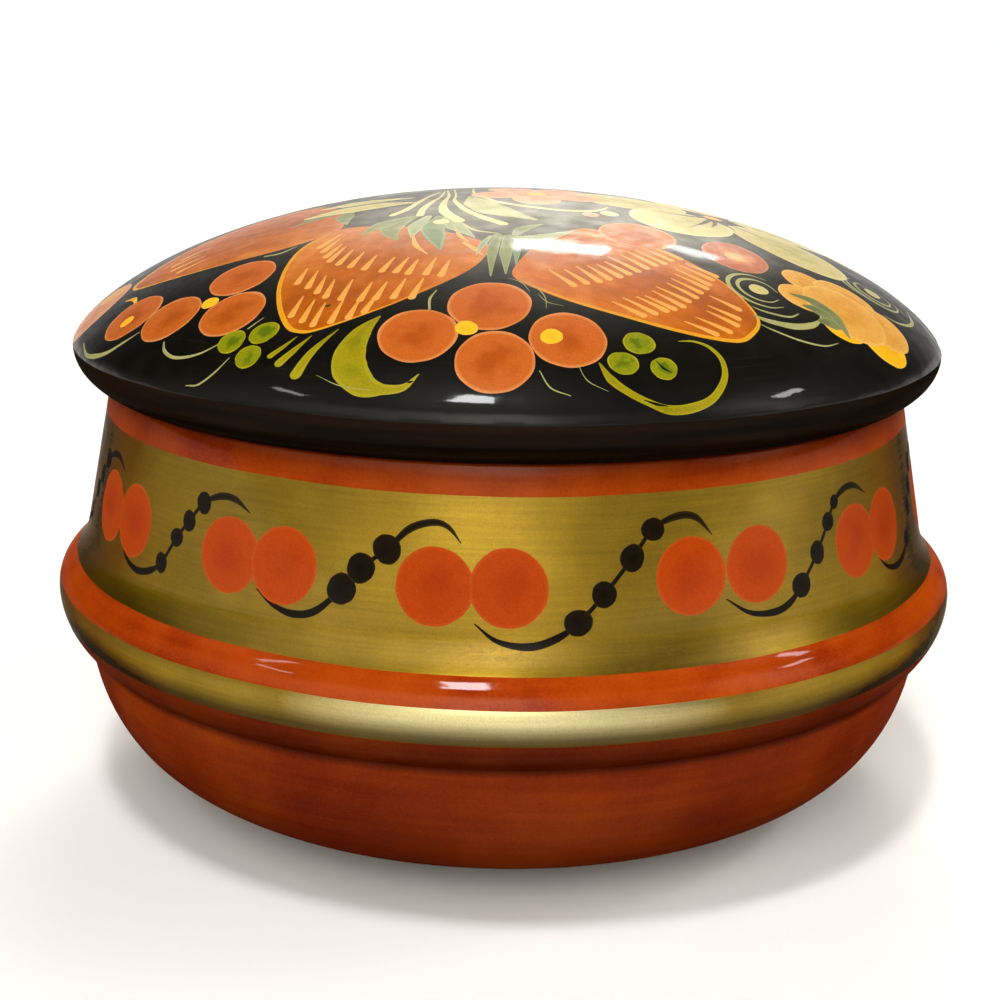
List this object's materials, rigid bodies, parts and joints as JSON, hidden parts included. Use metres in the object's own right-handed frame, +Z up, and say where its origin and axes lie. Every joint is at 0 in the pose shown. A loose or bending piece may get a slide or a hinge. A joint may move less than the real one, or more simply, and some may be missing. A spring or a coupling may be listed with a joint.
{
  "type": "lacquer trinket box",
  "caption": "Round turned wooden box with a beaded, full-bellied bowl, a collar inside its mouth and a domed lift-off lid, painted and lacquered.",
  "frame": {"origin": "centre of the foot, on the surface that the box stands on", "axes": "+Z up along the axis that the bowl and the lid are turned about; -Y towards the viewer of the picture"},
  "size_m": [0.132, 0.132, 0.087],
  "materials": {
    "gold_lacquered_wood": "gold and red paint under a warm clear lacquer, glossy",
    "black_lacquered_wood": "black ground with painted fruit and flowers under a clear lacquer, glossy"
  },
  "bodies": {
    "bowl": {"bowl": "gold_lacquered_wood"},
    "lid": {"lid": "black_lacquered_wood"}
  },
  "joints": [
    {"name": "lid_lift", "type": "slide", "parent": "bowl", "child": "lid", "axis": [0, 0, 1], "range_m": [0, 0.07]}
  ]
}
